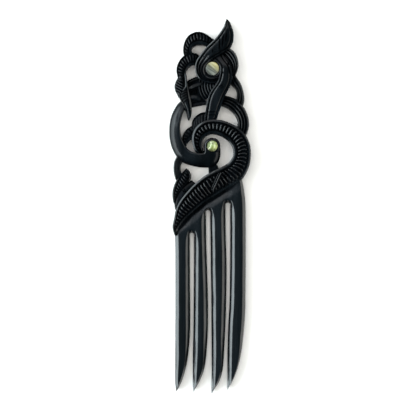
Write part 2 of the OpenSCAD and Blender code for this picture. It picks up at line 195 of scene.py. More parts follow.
# shoulders, share of the width and of the fall
roundSteps = ((0.0, 1.0), (0.04, 0.78), (0.15, 0.54), (0.35, 0.27), (0.6, 0.09), (0.8, 0.02), (1.0, 0.0))
gentleSteps = ((0.0, 1.0), (0.02, 0.93), (0.18, 0.66), (0.34, 0.43), (0.5, 0.25), (0.68, 0.1), (1.0, 0.0))


def softSection(w, top, phase, shape, along):
    # plain back with a rounded shoulder on each side
    (leftWide, leftFall), (rightWide, rightFall) = shape["shoulders"]
    crown = shape["crown"]
    fit = min(1.0, 0.94 * w / (leftWide + rightWide))
    leftWide, rightWide = leftWide * fit, rightWide * fit
    points = [(0, underBack)]
    points += [(leftWide * a, top - crown - leftFall * b) for a, b in roundSteps]
    points.append(((w + leftWide - rightWide) / 2, top))
    steps = gentleSteps if shape.get("gentle") else roundSteps
    points += [(w - rightWide * a, top - crown - rightFall * b) for a, b in reversed(steps)]
    points.append((w, underBack))
    return points


# one ridge along the band, share of its pitch and its phase
ridgePhases = (
    (0.0, 0.0), (0.13, 0.08), (0.22, 0.46), (0.32, 0.75), (0.44, 0.92), (0.57, 1.0), (0.7, 0.96),
    (0.8, 0.8), (0.89, 0.45),
)
straightEnd = 3.0  # ridges lean less within this of a band's ends
leastStep = 0.12


def stationsOf(path, shape):
    # places of the rings along the band, each with its ridge phase, lean and bow
    ridges = shape.get("ridges")
    pace = shape.get("pace", 0.8)
    length = path["length"]
    if not ridges:
        count = max(4, round(length / pace))
        return [(length * i / count, 1.0, 0.0, 0.0) for i in range(count + 1)]
    table = [[runOfRow(path, r[0])] + list(r[1:]) for r in ridges]
    first, last = (runOfRow(path, r) for r in shape.get("ridgedRows", (ridges[0][0], ridges[-1][0])))
    stations = []
    run = 0.0
    while run < length - 0.15:
        pitch, lean, bow = blendTable(table, run)
        if run < first or run + pitch > last:
            stations.append((run, 1.0, lean, bow))
            run += max(min(pace, pitch, (first - run) if run < first else length), leastStep)
            continue
        stations += [(run + pitch * share, phase, lean, bow) for share, phase in ridgePhases]
        run += pitch
        if run + pitch > last:
            stations.append((run, 0.0, lean, bow))
            run += pitch * 0.2
    stations.append((length, 1.0, 0.0, 0.0))
    result = []
    for run, phase, lean, bow in stations:
        ends = min(1.0, run / straightEnd, (length - run) / straightEnd)
        result.append((run, phase, lean * ends, bow * ends))
    return result


sectionKinds = {"carved": carvedSection, "reeded": reededSection, "soft": softSection}


def buildBand(shape):
    path = makePath(shape["rows"])
    section = sectionKinds[shape["kind"]]
    fadeRuns = [runOfRow(path, row) for row in shape.get("fadeRows", ())]
    tiltLeft, tiltRight = shape.get("tilts", (0.0, 0.0))
    rings = []
    for run, phase, lean, bow in stationsOf(path, shape):
        x0, y0, x1, y1, level = rowAt(path, run)
        width = max(math.hypot(x1 - x0, y1 - y0), 0.05)
        along = 1.0
        if fadeRuns:
            a, b = fadeRuns
            along = min(1.0, max(0.0, (run - a) / (b - a)))
        ring = []
        for d, z in section(width, level * headHeight, phase, shape, along):
            v = d / width
            u = 2 * v - 1
            if z > 0:
                z -= tiltLeft * (1 - v) ** 2 + tiltRight * v * v
            shift = lean * u + bow * (1 - u * u)
            ax, ay, bx, by, itsLevel = rowAt(path, run + shift) if shift else (x0, y0, x1, y1, level)
            if z > 0:
                z += (itsLevel - level) * headHeight
            ring.append((ax + (bx - ax) * v, ay + (by - ay) * v, z))
        rings.append(ring)
    return meshFromRings("band", rings)


def barRows(middle):
    # rows of a bar from its middle line: (x, y, half width, level)
    rows = []
    for i, (x, y, half, level) in enumerate(middle):
        ax, ay = middle[max(i - 1, 0)][:2]
        bx, by = middle[min(i + 1, len(middle) - 1)][:2]
        size = math.hypot(bx - ax, by - ay)
        nx, ny = (by - ay) / size, -(bx - ax) / size
        rows.append([x + nx * half, y + ny * half, x - nx * half, y - ny * half, level])
    return rows


def arcRows(centre, inner, outer, turns, levels):
    # rows between two radii round a centre, turns in degrees
    rows = []
    cx, cy = centre
    for turn, level in zip(turns, levels):
        c, s = math.cos(math.radians(turn)), math.sin(math.radians(turn))
        rows.append([cx + inner * c, cy + inner * s, cx + outer * c, cy + outer * s, level])
    return rows


def turned(name, centre, outline, count=64):
    # lathe work: outline is a list of (radius, height) from the bottom middle up, out and round
    low, high = outline[0][1], outline[-1][1]
    wall = outline[1:-1]
    verts = [(*centre, low), (*centre, high)]
    for k in range(count):
        a = 2 * math.pi * k / count
        verts += [(centre[0] + r * math.cos(a), centre[1] + r * math.sin(a), z) for r, z in wall]
    n = len(wall)
    faces = []
    for k in range(count):
        here, there = 2 + k * n, 2 + (k + 1) % count * n
        faces.append((0, there, here))
        faces.append((1, here + n - 1, there + n - 1))
        faces += [(here + i, there + i, there + i + 1, here + i + 1) for i in range(n - 1)]
    return meshObject(name, verts, faces)


def flaredBlock(outline, low, high, flare):
    # prism whose outline grows by flare from its low to its high end
    cx = sum(p[0] for p in outline) / len(outline)
    cy = sum(p[1] for p in outline) / len(outline)

    def grown(amount, z):
        ring = []
        for x, y in outline:
            far = math.hypot(x - cx, y - cy)
            ring.append((x + (x - cx) / far * amount, y + (y - cy) / far * amount, z))
        return ring

    return meshFromRings("block", [grown(0, low), grown(flare, high)])


def veeCutter(a, b, wide, depth, top):
    # V groove from a to b, wide at the top and gone at its ends
    dx, dy = b[0] - a[0], b[1] - a[1]
    size = math.hypot(dx, dy)
    nx, ny = -dy / size * wide / 2, dx / size * wide / 2
    over = 1.5
    grow = 1 + over / depth
    rings = []
    for t, share in ((0.0, 0.15), (0.2, 0.9), (0.5, 1.0), (0.8, 0.9), (1.0, 0.15)):
        x, y = a[0] + dx * t, a[1] + dy * t
        rings.append([
            (x - nx * share * grow, y - ny * share * grow, top + over), (x, y, top - depth * share),
            (x + nx * share * grow, y + ny * share * grow, top + over),
        ])
    return meshFromRings("notch", rings)


# the carving, one dictionary for each band
# rows: left edge, right edge and level, a share of the head's height
# rims: their widths; groove and sink: depth beside and on the ridges; power: how square the field is
# ridges: row, pitch, lean and bow; tilts: how far each side falls; pace: longest step along the band
# fadeRows: where the reeds, the thinner rims of wrapThin and a late right rim set in
# shoulders: width and fall of the left and of the right one; reedEdges: shares of the width
leaf = {
    "kind": "carved", "rims": (0.95, 0.95), "groove": 1.1, "sink": 0.2, "power": 6, "rimFall": 0.55,
    "reeds": (2, 0.9), "fadeRows": (8.0, 10.0), "wrapThin": 0.3, "pace": 0.7,
    "rows": [
        [7.95, 90, 7.75, 90, 0.7], [9.3, 88.4, 7.2, 88.2, 0.86], [10.5, 85.6, 6.2, 85.7, 0.97],
        [11.2, 82.6, 4.4, 82.9, 1], [11.1, 79.6, 2.4, 80.4, 1], [10.3, 77.1, 0.7, 78.8, 1],
        [9.2, 75.6, -0.7, 77.5, 1], [6.9, 74.2, -2.2, 76, 1], [4.4, 72.7, -3.6, 74.3, 1],
        [1.6, 71.1, -5.1, 72.2, 1], [-0.8, 69.2, -6.4, 70.3, 1], [-2.5, 67.2, -7.2, 68, 1],
        [-3, 65.3, -7.3, 65.6, 1], [-2.6, 63.5, -6.8, 63.3, 1], [-1.5, 62.2, -5.5, 61.3, 1],
        [0.1, 61.6, -3.4, 59.9, 0.99], [1.8, 61.7, -0.6, 59.2, 0.94], [3.2, 62.2, 2.2, 59.2, 0.86],
        [4.6, 63.2, 4.8, 60, 0.78],
    ],
}
strap = {
    "kind": "carved", "rims": (0.85, 0.75), "groove": 1.0, "sink": 0.0, "power": 7, "rimFall": 0.36,
    "rows": [
        [5.8, 73.6, 0.6, 71.2, 0.74], [7.4, 70.3, 3.2, 69.2, 0.88], [9.2, 67.9, 4.5, 67.3, 0.97],
        [10.3, 65, 4.7, 65, 1], [10.6, 62.3, 4.3, 62.3, 1], [10.2, 59.6, 3.6, 60, 1],
        [9.2, 57, 2.2, 57.8, 1], [8, 54.8, 0.7, 55.8, 1], [6.9, 52.5, -0.6, 53.4, 1],
        [5.9, 50, -1.5, 50.5, 1], [5, 47.5, -2, 47.6, 1], [4.1, 44.8, -2.4, 44.8, 0.97],
        [3.4, 42.4, -2.7, 42.4, 0.88], [3.2, 40.2, -2.8, 40, 0.78],
    ],
}
upperArch = {
    "kind": "carved", "rims": (1.9, 0.35), "groove": 1.25, "sink": 0.05, "power": 6, "tilts": (0.0, 0.9),
    "ridges": [
        (0, 1.5, 0, 0), (2, 1.5, 0.5, 0), (4, 1.5, -0.6, 0), (6, 1.5, -1.1, 0.2), (8, 1.4, -0.9, 0),
    ],
    "rows": [
        [0.6, 77, 3, 79.4, 0.72], [-1.6, 76.9, 0.2, 81.2, 0.84], [-3.6, 77.2, -2.7, 83.1, 0.93],
        [-5.5, 77.3, -6, 83.9, 0.94], [-7.2, 76.9, -9.4, 82.8, 0.94], [-8.3, 76.2, -11.6, 80.6, 0.94],
        [-8.8, 75.2, -12.8, 77.5, 0.92], [-8.7, 74, -13.1, 74.6, 0.86], [-8.2, 72.6, -12.6, 71.8, 0.74],
    ],
}
lowerArch = {
    "kind": "carved", "rims": (1.2, 0.3), "groove": 1.3, "sink": 0.05, "power": 6, "tilts": (0.3, 0.9),
    "ridges": [(0, 1.3, 0.3, 0), (4, 1.3, 0.1, 0), (5, 1.35, 0.5, 0), (8, 1.35, 0.8, 0)],
    "rows": [
        [-6.2, 66.6, -4.2, 72, 0.76], [-7.6, 67.6, -6.8, 73.4, 0.9], [-8.9, 67.5, -9.6, 73.7, 0.95],
        [-10, 66.8, -12.3, 72.6, 0.95], [-10.9, 65.7, -14.4, 70.6, 0.95], [-11.4, 64.3, -15.8, 68, 0.95],
        [-11.6, 62.7, -16.3, 65.3, 0.93], [-11.5, 61, -15.9, 62.6, 0.88], [-11.3, 59, -15.2, 60.2, 0.78],
    ],
}
bulge = {
    "kind": "carved", "rims": (0, 0), "groove": 1.35, "sink": 0.0, "power": 8, "tilts": (0.0, 1.3),
    "ridges": [(0, 1.3, -0.9, 0), (2, 1.35, -1.6, 0), (6, 1.3, -1.4, 0)],
    "rows": [
        [-14.6, 62.7, -15.2, 62.4, 0.84], [-13.2, 61, -16.2, 60.8, 0.93], [-12.3, 59, -17, 58.9, 0.96],
        [-12.1, 57.2, -17.2, 57, 0.96], [-12.7, 55.5, -16.8, 55.3, 0.95], [-13.8, 54, -16, 53.8, 0.92],
        [-14.7, 52.4, -15.2, 52, 0.86],
    ],
}
dagger = {
    "kind": "carved", "rims": (0.95, 0.8), "groove": 1.05, "sink": 0.15, "power": 6, "tilts": (0.0, 0.5),
    "ridges": [(2.4, 1.3, 1.6, 0), (5.2, 1.35, 2, 0)], "ridgedRows": (2.6, 4.6), "pace": 0.7,
    "fadeRows": (3.7, 4.5), "lateRim": True,
    "rows": [
        [-11.45, 63.4, -12.5, 63.6, 0.93], [-11.05, 59.8, -12.2, 59.8, 0.97],
        [-10.5, 56.8, -12.3, 57.3, 0.98], [-10, 54.2, -14.3, 55.2, 0.98], [-9.5, 51.6, -14.9, 52.2, 1],
        [-9, 49, -13.6, 49.6, 1], [-8.9, 46.5, -12.4, 47, 1], [-9, 44.3, -11.6, 44.8, 0.97],
        [-9.6, 42.4, -11.1, 42.6, 0.9], [-10.2, 41.3, -10.6, 41.3, 0.8],
    ],
}
fan = {
    "kind": "reeded", "reedEdges": (0, 0.2, 0.36, 0.52, 0.68, 0.84, 1), "groove": 1.3, "pace": 0.7,
    "tilts": (0.0, 0.7),
    "rows": arcRows(
        (4.5, 58.0), 2.0, 10.55, (158, 172, 184, 194, 204, 214, 225),
        (0.72, 0.8, 0.85, 0.86, 0.86, 0.85, 0.82),
    ),
}
rightArch = {
    "kind": "reeded", "reedEdges": (0, 0.18, 0.38, 0.58, 1), "groove": 1.2, "pace": 0.7, "tilts": (0.0, 1.1),
    "rows": [
        [8.4, 76.2, 4.2, 72.4, 0.74], [10.7, 75, 5.6, 70.4, 0.86], [12.4, 72.8, 7, 68.8, 0.91],
        [13.3, 70.2, 8.2, 67.5, 0.91], [13.6, 67.6, 9, 66.2, 0.9], [13.1, 65.2, 9.6, 65, 0.87],
        [12.2, 63, 9.6, 63.2, 0.8], [11.2, 60.8, 8.9, 61.3, 0.74],
    ],
}
link = {
    "kind": "reeded", "reedEdges": (0, 0.36, 0.68, 1), "groove": 1.4, "pace": 0.7, "tilts": (0.2, 0.2),
    "rows": [
        [11.6, 63.8, 9, 61.7, 0.72], [13.2, 61.2, 9.6, 59, 0.78], [14.7, 58.8, 10.8, 57.4, 0.83],
        [15.7, 56, 12.2, 56, 0.84], [16.3, 53, 12.7, 54.1, 0.83], [16.3, 50.3, 12.5, 52, 0.78],
        [15.7, 48.2, 11.6, 49.8, 0.72],
    ],
}
longArch = {
    "kind": "reeded", "reedEdges": (0, 0.26, 0.5, 0.74, 1), "groove": 1.5, "pace": 0.7, "tilts": (0.7, 0.0),
    "rows": [
        [5.5, 53.2, 3.4, 48.2, 0.76], [8.3, 53, 5.6, 48, 0.88], [11, 52, 7.6, 47.2, 0.93],
        [13.7, 50.4, 9.6, 45.8, 0.94], [15.9, 47.9, 11.3, 44.2, 0.94], [17.5, 44.9, 12.4, 42.5, 0.94],
        [18.5, 41.5, 13, 40.7, 0.93], [18.6, 38.3, 13.1, 38.8, 0.87], [17.9, 35.5, 12.8, 36.5, 0.78],
        [17, 33.3, 12.2, 34.5, 0.74],
    ],
}
upperLobe = {
    "kind": "carved", "rims": (0.5, 0.6), "groove": 0.55, "sink": 0.1, "power": 5, "cut": 0.6,
    "tilts": (0, 0.5), "ridges": [(0, 1.5, -0.6, 0), (4, 1.6, -0.8, 0)],
    "rows": [
        [-1.5, 40, -1.5, 45.4, 0.72], [-3.5, 39, -4.6, 44.8, 0.8], [-5.5, 37.6, -7.2, 43, 0.82],
        [-6.8, 36, -8.7, 40.8, 0.82], [-7.3, 34.5, -9, 38.4, 0.78],
    ],
}
lowerLobe = {
    "kind": "carved", "rims": (1.3, 0), "groove": 0.95, "sink": 0.05, "power": 5, "tilts": (0.0, 0.9),
    "ridges": [(0, 1.6, 0.5, 0), (5, 1.4, 0.3, 0)],
    "rows": [
        [-7, 34.8, -8.4, 38.9, 0.74], [-7.9, 33.4, -10.8, 37.5, 0.8], [-8.7, 32.3, -12.6, 35.5, 0.82],
        [-10, 31.4, -13.5, 33.2, 0.82], [-11.1, 30, -13.2, 30.9, 0.8], [-11.8, 28.4, -13, 28.6, 0.74],
    ],
}
crescent = {
    "kind": "soft", "shoulders": ((1.0, 0.8), (3.9, 2.3)), "gentle": True, "crown": 0.06, "pace": 0.7,
    "rows": [
        [-10.5, 49.3, -13.8, 51, 0.74], [-12.6, 46, -16.2, 48.4, 0.88], [-13.6, 43, -18.3, 44.4, 0.97],
        [-14.3, 40, -19.4, 40.3, 1], [-14.4, 36.8, -19.7, 36, 1], [-14, 33.8, -19.4, 31.8, 1],
        [-13, 31, -18.2, 27.5, 1], [-11.6, 28.4, -16, 23.6, 1], [-9.6, 26.5, -12.6, 20.8, 1],
        [-7, 25.7, -8.6, 19.4, 1], [-4.8, 25.5, -4.8, 18.7, 1], [-3.4, 25.6, -1.6, 18.6, 1],
        [-2.8, 26, 1, 18.9, 1], [-2.7, 26.7, 3.2, 20.4, 1], [-2.75, 27.4, 4.5, 22.9, 1],
        [-2.85, 28.4, 4.9, 25.8, 1], [-2.85, 29.2, 4.8, 28.8, 0.99],
    ],
}
spiral = {
    "kind": "carved", "rims": (1.15, 1.65), "groove": 1.5, "sink": 0.05, "power": 4.5,
    "fadeRows": (17.0, 21.0), "wrapThin": 0.32,
    "ridges": [
        (0, 1.5, -0.9, 0.1), (4, 1.7, -0.9, 0), (7, 1.8, -0.6, -0.3), (10, 1.8, -0.4, -0.6),
        (13, 1.75, -0.3, -0.9), (17, 1.7, -0.1, -0.8), (19, 1.65, 0, -0.3), (20, 1.65, 0.5, 0.7),
        (22, 1.7, 0.8, 0.9), (25, 1.55, 0.7, 0.8), (27, 1.2, 0.3, 0.3),
    ],
    "rows": [
        [-3.3, 24.6, -2.3, 25.7, 0.78], [-5.6, 25.1, -3.1, 26.7, 0.88], [-7.3, 26.6, -3.75, 28, 0.97],
        [-8.3, 28.7, -3.95, 29.4, 1], [-8.85, 32.2, -3.5, 31.5, 1], [-8.2, 35.6, -2.5, 33.1, 1],
        [-6.3, 38.5, -1, 34.1, 1], [-3, 40.8, 0.8, 34.6, 1], [1.2, 41.6, 2.6, 34.4, 1],
        [5.6, 41.2, 4.7, 33.7, 1], [9.8, 39.8, 6.9, 32.5, 1], [13.6, 37.6, 8.9, 30.8, 1],
        [17, 34, 10.4, 28.7, 1], [19, 29.7, 11, 26.3, 1], [19.5, 25, 10.8, 24.2, 1],
        [19, 20.4, 9.9, 22.3, 1], [17.6, 16.4, 8.5, 20.7, 1], [15.4, 13, 6.8, 19.6, 1],
        [12, 10.8, 4.7, 18.5, 1], [7, 8.1, 1.4, 16.9, 1], [2, 4.9, -2.8, 14.5, 1], [-2.7, 2, -7.4, 10.8, 1],
        [-6.6, -1.2, -11.3, 6.7, 1], [-9.8, -4, -14.4, 2.8, 1], [-12.5, -6.7, -16.4, -1.2, 1],
        [-14.6, -9.5, -17.3, -5.6, 0.98], [-16.1, -12.2, -18.1, -9.9, 0.92],
        [-16.9, -14.2, -17.3, -13.4, 0.8],
    ],
}
sideBand = {
    "kind": "carved", "rims": (0.7, 0.7), "groove": 0.6, "sink": 0.15, "power": 5, "cut": 0.7,
    "ridges": [(0, 1.1, 0.4, 0), (5, 1.1, 0.4, 0)],
    "rows": [
        [-12.8, 23, -15.2, 25.4, 0.74], [-13.6, 21, -17, 22.2, 0.84], [-14.2, 19, -17.6, 19.6, 0.88],
        [-14.2, 17.2, -17.6, 17, 0.88], [-13.8, 15.5, -17.2, 14.6, 0.84], [-13.4, 13.5, -16.6, 12.6, 0.74],
    ],
}
sideLeaf = {
    "kind": "carved", "rims": (0.8, 0.7), "groove": 1.4, "sink": 0.05, "power": 5, "tilts": (0.0, 0.7),
    "ridges": [
        (0, 1.3, -1.2, 0), (2, 1.35, -2.6, 0.2), (4, 1.35, -2.8, 0.3), (6, 1.35, -1.6, 0.2),
        (8, 1.3, -0.6, 0),
    ],
    "rows": [
        [-11.35, 18.2, -11.6, 18.2, 0.8], [-10.1, 17, -12.8, 16.9, 0.9], [-9.1, 15, -14.5, 15, 0.95],
        [-9.3, 12.9, -16, 13, 0.95], [-11, 11.2, -17.1, 10.7, 0.95], [-13, 9.2, -17.9, 8.2, 0.95],
        [-14.7, 7.2, -18.2, 5.8, 0.95], [-16, 5.2, -18, 3.4, 0.92], [-16.9, 2.8, -17.5, 1.2, 0.84],
    ],
}
wedge = {
    "kind": "soft", "shoulders": ((0.6, 0.5), (0.6, 0.5)), "crown": 0.1, "tilts": (0.0, 0.8),
    "rows": [
        [-6.6, 10.5, -8.8, 12.5, 0.78], [-9, 8.8, -11.3, 11.2, 0.84], [-11.3, 6.5, -13.8, 8.9, 0.87],
        [-13.3, 4, -16, 6, 0.87], [-14.8, 1.8, -17, 3.2, 0.84], [-15.8, -0.4, -17.2, 0.4, 0.78],
        [-16.2, -2, -16.9, -1.6, 0.72],
    ],
}
ground = {
    "kind": "soft", "shoulders": ((0.5, 0.4), (0.5, 0.4)), "crown": 0.05, "pace": 1.5,
    "rows": [
        [-4.6, 62.4, -11.7, 60, 0.5], [-4.6, 57.5, -11.6, 57.3, 0.5], [-3.8, 53, -10.4, 53, 0.5],
        [-2.2, 48.9, -9, 47.4, 0.5],
    ],
}
tie = {
    "kind": "soft", "shoulders": ((0.7, 0.6), (0.7, 0.6)), "crown": 0.1,
    "rows": [[2.8, 20.8, -1.4, 19.6, 0.62], [3.5, 19.4, -0.9, 18.2, 0.64], [4.3, 17.4, -0.8, 15.6, 0.64]],
}
bars = {
    "kind": "soft", "shoulders": ((0.3, 0.4), (1.5, 0.8)), "gentle": True, "crown": 0.08, "pace": 0.7,
    "middles": [
        [(-10.8, 59.4, 0.75, 0.64), (-8.1, 60.8, 0.85, 0.66), (-4.8, 62.0, 0.85, 0.64)],
        [(-10.4, 56.5, 0.95, 0.84), (-7.6, 57.8, 1.0, 0.86), (-4.4, 59.0, 0.95, 0.80)],
        [(-9.6, 52.4, 1.15, 0.84), (-7.3, 52.2, 1.20, 0.88), (-4.6, 51.4, 1.0, 0.78)],
        [(-9.0, 48.6, 1.05, 0.62), (-6.0, 49.4, 1.0, 0.66), (-2.2, 49.8, 1.0, 0.62)],
    ],
}
# round end of the crescent, that holds the lower inlay
knob = {"centre": (0.95, 28.9), "radius": 3.9, "shoulder": 1.0, "fall": 1.2, "crown": 0.1, "flat": 0.25}
# seat of the upper inlay, with the raised rim that shows on its right
inlayRing = {
    "kind": "soft", "shoulders": ((0.4, 0.5), (0.4, 0.5)), "crown": 0.05, "pace": 0.6,
    "centre": (1.0, 66.0), "seat": 5.0, "wall": 4.45, "ridge": 3.92, "half": 0.42, "from": 84, "to": -78,
    "level": 0.955, "steps": 8,
}
# lower bands first
headBands = [
    ground, fan, link, rightArch, longArch, lowerArch, upperArch, bulge, dagger, strap, leaf, upperLobe,
    lowerLobe, tie, sideBand, wedge, sideLeaf, crescent, spiral,
]


plate = {
    "sideLean": 0.25, "wallLean": 0.7, "waist": 2.2, "bevel": 1.6, "bevelFall": 1.2, "backBevel": 0.7,
    "closedEnd": 5.0,  # the bevels are narrower within this of a slot's closed end
    "rows": [
        [15, 13.6, -9, 9, 5], [15.7, 11.4, -12.5, 2, 5], [16.4, 7.2, -15.5, -4.5, 5],
        [16.9, 3, -17, -9.5, 5], [17.1, -4, -17.1, -13.5, 5], [17.15, -18, -16.9, -22, 5],
        [17.1, -34, -16.85, -36, 4.8], [16.9, -50, -16.85, -50, 4.8], [16.2, -60, -16.9, -60, 4.6],
        [15, -70, -16.9, -70, 4.3], [13.2, -78, -16.95, -78, 4], [10.7, -84.2, -16.9, -84.2, 3.7],
        [8.3, -88.3, -16.5, -88.3, 3.4], [7, -90, -16, -90, 3.4],
    ],
    # height of the crown at each y, where the slots' bevels end
    "heights": [
        (-90.0, 3.4), (-88.3, 3.4), (-84.2, 3.7), (-78.0, 4.0), (-70.0, 4.3), (-60.0, 4.6), (-50.0, 4.8),
        (-34.0, 4.8), (-18.0, 5.0), (20.0, 5.0),
    ],
    # the right bevel turns into a steep dark side towards the tip, the left one stays
    "rightFade": [(-81.0, 0.1), (-73.0, 0.35), (-62.0, 0.9), (-54.0, 1.0)],
    "leftFade": [(-90.0, 0.6), (-72.0, 1.0)],
    # middle x, y and half width, from the closed end down
    "slots": [
        [
            [-8.9, -13.7, 0.95], [-8.85, -20, 1], [-8.85, -36, 0.95], [-8.9, -58, 0.8], [-9.4, -70, 1.05],
            [-10.1, -78, 1.7], [-11.1, -84.2, 2.65], [-12.05, -88.6, 3.85], [-12.5, -92, 4.8],
        ],
        [
            [-1.15, -2.8, 0.95], [-1, -12, 1.05], [-0.65, -30, 0.9], [-0.3, -46, 0.8], [-0.3, -58, 0.85],
            [-0.55, -70, 1.2], [-1.1, -78, 1.75], [-2.3, -84.2, 2.85], [-3.55, -88.6, 4.08],
            [-4.2, -92, 4.7],
        ],
        [
            [8.45, 0.7, 1.05], [8.5, -10, 1.1], [8.7, -30, 0.85], [8.45, -46, 0.8], [7.95, -58, 0.65],
            [7.45, -70, 0.8], [7.15, -78, 1.1], [6.3, -84.2, 1.95], [4.85, -88.6, 3.25], [4.2, -92, 4.1],
        ],
    ],
}
# share of a bevel's width and of its fall, from the top of the wall to the crown of the tine
bevelSteps = (
    (0.0, 1.0), (0.2, 0.79), (0.4, 0.57), (0.58, 0.38), (0.74, 0.23), (0.88, 0.13), (1.05, 0.07),
    (1.5, 0.025), (2.0, 0.0),
)


def backFoot():
    # how far the small bevel of the back leans in at the underside
    return plate["backBevel"] * (1 - underBack / plate["waist"])


def lessFall(share):
    # a narrower bevel falls less
    return 0.3 + 0.7 * share


def plateSection(w, top, y):
    sides = []
    for fadeTable in ("rightFade", "leftFade"):
        fade = blendTable(plate[fadeTable], y)[0]
        wide, fall = plate["bevel"] * fade, plate["bevelFall"] * lessFall(fade)
        side = [(backFoot(), underBack), (0.0, plate["waist"])]
        side += [(plate["sideLean"] + wide * share, top - fall * drop) for share, drop in bevelSteps]
        sides.append(side)
    return sides[0] + [(w - d, z) for d, z in reversed(sides[1])]


def buildPlate():
    path = makePath(plate["rows"])
    count = round(path["length"])  # a ring each millimetre
    rings = []
    for i in range(count + 1):
        x0, y0, x1, y1, top = rowAt(path, path["length"] * i / count)
        width = math.hypot(x1 - x0, y1 - y0)
        ring = []
        for d, z in plateSection(width, top, (y0 + y1) / 2):
            v = d / width
            ring.append((x0 + (x1 - x0) * v, y0 + (y1 - y0) * v, z))
        rings.append(ring)
    return meshFromRings("plate", rings)


def buildSlot(rows):
    line = smoothRows(rows, 6)
    end = rows[0][1]

    def place(y, level, fadeTable):
        # level is (grow, height) for the wall and (bevel share, None, drop) for the bevel
        if level[1] is not None:
            return level[0], level[1]
        fade = blendTable(plate[fadeTable], y)[0]
        t = min(1.0, max(0.0, end - y) / plate["closedEnd"])
        narrow = 0.45 + 0.55 * t * (2 - t) - 0.15 * min(1.0, max(0.0, y - end))
        drop = plate["bevelFall"] * lessFall(fade) * lessFall(narrow) * level[2]
        grow = plate["wallLean"] + plate["bevel"] * fade * narrow * level[0]
        return grow, blendTable(plate["heights"], y)[0] - drop

    levels = [(backFoot(), underBack), (0.0, plate["waist"])]
    levels += [(share, None, drop) for share, drop in bevelSteps]
    levels.append((2.6, None, -1.4))  # out above the surface
    rings = []
    for level in levels:
        outline = []
        for x, y, half in line:
            g, z = place(y, level, "rightFade")
            outline.append((x - half - g, y, z))
        for x, y, half in reversed(line):
            g, z = place(y, level, "leftFade")
            outline.append((x + half + g, y, z))
        x, y, half = line[0]
        for turn in range(15, 180, 15):
            c, s = math.cos(math.radians(turn)), math.sin(math.radians(turn))
            g, z = place(y + s, level, "leftFade")
            outline.append((x + (half + g) * c, y + (half + 1.5 * g) * s, z))
        rings.append(outline)
    return meshFromRings("slot", rings)


# the plate falls towards the diagonal band, from and to are rows of the band
dish = {"from": 16.6, "to": 26.2, "deep": 1.4, "wide": 4.6, "curve": 1.15, "under": 1.6, "above": 7.5}


def buildDish():
    path = makePath(spiral["rows"])
    a, b = runOfRow(path, dish["from"]), runOfRow(path, dish["to"])
    under, above, count = dish["under"], dish["above"], 40
    rings = []
    for i in range(count + 1):
        x0, y0, x1, y1, _ = rowAt(path, a + (b - a) * i / count)
        size = math.hypot(x1 - x0, y1 - y0)
        ox, oy = (x0 - x1) / size, (y0 - y1) / size
        deep = dish["deep"] * min(1.0, i / 8, (count - i) / 8 + 0.2)
        wide = dish["wide"] * min(1.0, 0.35 + (count - i) / 16)
        profile = [(-under, above), (-under, plateHeight - deep), (0.1, plateHeight - deep)]
        for t in (0.2, 0.4, 0.6, 0.8, 1.0):
            lift = 0.02 if t == 1.0 else 0  # its edge clears the plate's top
            profile.append((0.1 + wide * t, plateHeight - deep * (1 - t) ** dish["curve"] + lift))
        profile.append((0.1 + wide, above))
        rings.append([(x0 + ox * d, y0 + oy * d, z) for d, z in profile])
    return meshFromRings("dish", rings)


def buildKnob():
    r, s, top = knob["radius"], knob["shoulder"], headHeight - knob["crown"]
    outline = [(0, underBack), (r, underBack)]
    outline += [(r - s * a, top - knob["fall"] * b) for a, b in roundSteps]
    outline += [(r - s - knob["flat"], headHeight - 0.12), (0, headHeight - 0.12)]
    return turned("knob", knob["centre"], outline)


def buildRingSeat():
    r, seat = inlayRing["wall"], inlayRing["seat"]
    return turned("ringSeat", inlayRing["centre"], [(0, underBack), (r, underBack), (r, seat), (0, seat)])


def buildRingRim():
    start, end, steps = inlayRing["from"], inlayRing["to"], inlayRing["steps"]
    turns = [start + (end - start) * k / steps for k in range(steps + 1)]
    r, half = inlayRing["ridge"], inlayRing["half"]
    rows = arcRows(inlayRing["centre"], r - half, r + half, turns, [inlayRing["level"]] * len(turns))
    return buildBand({**inlayRing, "rows": rows})


# double ridge across the diagonal band, in a bed that is a little wider on each side
divider = {
    "kind": "reeded", "reedEdges": (0, 0.5, 1), "groove": 1.6, "pace": 0.5, "tilts": (0.0, 0.45),
    "beds": (0.6, 0.65), "bedDepth": 1.5,
    "rows": [
        [5.6, 16, 4, 16.5, 0.96], [4.7, 14.1, 3, 14.7, 0.99], [3.5, 11.4, 1.8, 12, 1],
        [2.4, 9.1, 0.7, 9.6, 0.99], [1.7, 7.6, 0.2, 7.9, 0.95],
    ],
}
# V cuts: from, to, width, depth and the height of the surface
notches = [
    # strap: double cross notch, two cross notches near its lower end
    ((3.9, 57.2), (6.4, 58.4), 0.7, 0.55, 7.0), ((4.4, 56.3), (6.7, 57.5), 0.5, 0.4, 7.0),
    ((-1.5, 45.2), (3.4, 45.2), 0.8, 0.6, 6.8), ((-1.5, 43.8), (3.1, 43.8), 0.7, 0.55, 6.6),
    # leaf: faint lengthwise lines in the field
    ((4.2, 74.6), (4.4, 80.6), 1.0, 0.8, 6.8), ((5.7, 76.2), (6.2, 82.6), 1.0, 0.85, 6.8),
    ((7.3, 78.6), (7.8, 83.4), 0.8, 0.6, 6.8), ((1.0, 73.2), (1.2, 75.6), 0.8, 0.5, 6.8),
    ((-1.9, 73.6), (-1.3, 71.0), 0.7, 0.5, 6.8), ((-3.2, 72.4), (-3.0, 69.8), 0.7, 0.5, 6.8),
    # right arch: small V on the broad smooth part
    ((8.3, 69.0), (9.2, 67.8), 0.7, 0.4, 6.35),
]
